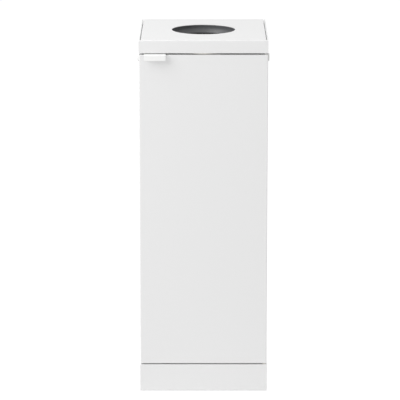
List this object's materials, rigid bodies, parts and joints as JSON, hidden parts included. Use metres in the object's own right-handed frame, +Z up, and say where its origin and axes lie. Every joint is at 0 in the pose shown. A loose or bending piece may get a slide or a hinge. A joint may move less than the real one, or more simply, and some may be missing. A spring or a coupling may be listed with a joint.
{
  "type": "waste bin cabinet",
  "caption": "Narrow free-standing cabinet of folded white sheet steel, with a round drop-in inlet in its top, a hinged front door with a pull tab, an inner bin with a bag ring, and a plinth.",
  "frame": {"origin": "on the floor, under the middle of the cabinet's whole outline", "axes": "+Z up, -Y towards the front door, +X to the viewer's right, where the door's hinge is"},
  "size_m": [0.327, 0.3672, 0.9],
  "materials": {
    "white_powder_coat": "white semi-gloss powder coat",
    "zinc_plated_steel": "bright zinc plate",
    "galvanised_steel": "spangled hot-dip zinc",
    "grey_moulding": "dark grey moulded plastic",
    "natural_nylon": "natural moulded nylon",
    "ferrite": "ground ferrite magnet",
    "light_cap": "light grey moulded cap",
    "rubber": "black rubber",
    "black_moulding": "black moulded plastic"
  },
  "bodies": {
    "cabinet": {"left_side_panel": "white_powder_coat", "right_side_panel": "white_powder_coat", "back_panel": "white_powder_coat", "base_plate": "white_powder_coat", "top_cover": "white_powder_coat", "inlet_collar": "grey_moulding", "top_front_rail": "white_powder_coat", "plinth_front": "white_powder_coat", "plinth_rear": "white_powder_coat", "plinth_left": "white_powder_coat", "plinth_right": "white_powder_coat", "magnet_housing": "natural_nylon", "catch_magnet": "ferrite", "lift_stop": "natural_nylon", "hinge_bush_top": "natural_nylon", "hinge_pin_bottom": "zinc_plated_steel", "side_cap_left": "light_cap", "back_screw_left_low": "zinc_plated_steel", "back_screw_left_middle": "zinc_plated_steel", "back_screw_left_high": "zinc_plated_steel", "side_cap_right": "light_cap", "back_screw_right_low": "zinc_plated_steel", "back_screw_right_middle": "zinc_plated_steel", "back_screw_right_high": "zinc_plated_steel", "door_bumper_1": "rubber", "door_bumper_2": "rubber", "foot_nut_front_left": "zinc_plated_steel", "foot_nut_front_right": "zinc_plated_steel", "foot_nut_rear_left": "zinc_plated_steel", "foot_nut_rear_right": "zinc_plated_steel"},
    "door": {"door_panel": "white_powder_coat", "door_stiffener": "white_powder_coat", "door_handle": "white_powder_coat", "keeper_plate": "zinc_plated_steel", "hinge_pin_top": "zinc_plated_steel", "hinge_bush_bottom": "natural_nylon", "handle_rivet_left": "zinc_plated_steel", "handle_rivet_right": "zinc_plated_steel"},
    "bin": {"inner_bin": "galvanised_steel", "ring_bracket_left": "galvanised_steel", "ring_bracket_right": "galvanised_steel", "ring_pin_left": "zinc_plated_steel", "ring_pin_right": "zinc_plated_steel"},
    "bag_ring": {"bag_ring": "zinc_plated_steel"},
    "foot_front_left": {"foot_stud_front_left": "zinc_plated_steel", "foot_pad_front_left": "black_moulding"},
    "foot_front_right": {"foot_stud_front_right": "zinc_plated_steel", "foot_pad_front_right": "black_moulding"},
    "foot_rear_left": {"foot_stud_rear_left": "zinc_plated_steel", "foot_pad_rear_left": "black_moulding"},
    "foot_rear_right": {"foot_stud_rear_right": "zinc_plated_steel", "foot_pad_rear_right": "black_moulding"}
  },
  "joints": [
    {"name": "door_hinge", "type": "hinge", "parent": "cabinet", "child": "door", "pos_m": [0.1528, -0.1616, 0.4681], "axis": [0, 0, 1], "range_deg": [0, 110]},
    {"name": "bin_lift", "type": "slide", "parent": "cabinet", "child": "bin", "axis": [0, 0, 1], "range_m": [0, 0.015]},
    {"name": "ring_tip", "type": "hinge", "parent": "bin", "child": "bag_ring", "pos_m": [0, 0.1698, 0.6465], "axis": [-1, 0, 0], "range_deg": [0, 45]},
    {"name": "foot_front_left_screw", "type": "slide", "parent": "cabinet", "child": "foot_front_left", "axis": [0, 0, -1], "range_m": [0, 0.012]},
    {"name": "foot_front_right_screw", "type": "slide", "parent": "cabinet", "child": "foot_front_right", "axis": [0, 0, -1], "range_m": [0, 0.012]},
    {"name": "foot_rear_left_screw", "type": "slide", "parent": "cabinet", "child": "foot_rear_left", "axis": [0, 0, -1], "range_m": [0, 0.012]},
    {"name": "foot_rear_right_screw", "type": "slide", "parent": "cabinet", "child": "foot_rear_right", "axis": [0, 0, -1], "range_m": [0, 0.012]}
  ]
}
